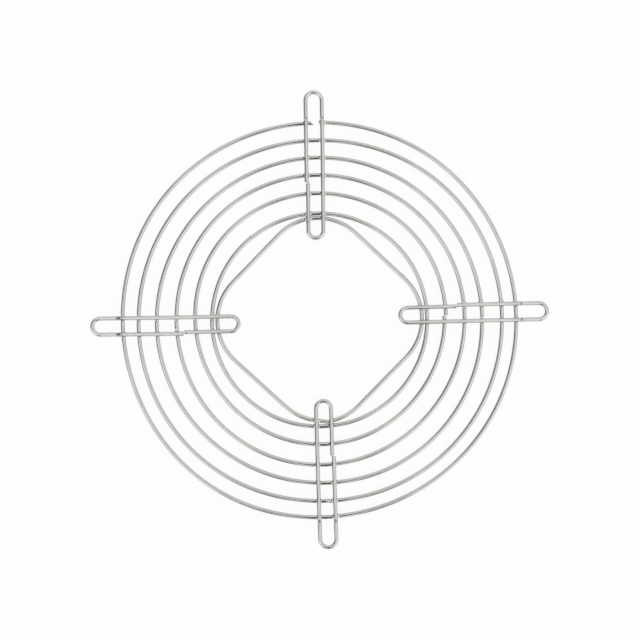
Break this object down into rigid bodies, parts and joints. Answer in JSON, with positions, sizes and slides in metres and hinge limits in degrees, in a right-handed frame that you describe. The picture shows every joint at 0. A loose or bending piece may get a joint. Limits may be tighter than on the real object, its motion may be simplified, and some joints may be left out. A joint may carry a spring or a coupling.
{
  "type": "fan guard",
  "caption": "Round welded wire guard for an axial fan: concentric rings and a rounded square ring under radial wire loops whose stepped-down outer ends are the screw slots.",
  "frame": {"origin": "centre of the guard on its mounting plane, which the undersides of the screw ends touch", "axes": "+Z points away from the fan; +X, +Y, -X and -Y run along the right, back, left and front spokes"},
  "size_m": [0.17, 0.17, 0.0032],
  "materials": {
    "plated_wire": "bright plated round steel wire, satin"
  },
  "bodies": {
    "root": {"outer_ring": "plated_wire", "second_ring": "plated_wire", "third_ring": "plated_wire", "fourth_ring": "plated_wire", "fifth_ring": "plated_wire", "inner_ring": "plated_wire", "square_ring": "plated_wire", "right_spoke": "plated_wire", "back_spoke": "plated_wire", "left_spoke": "plated_wire", "front_spoke": "plated_wire"}
  },
  "joints": []
}
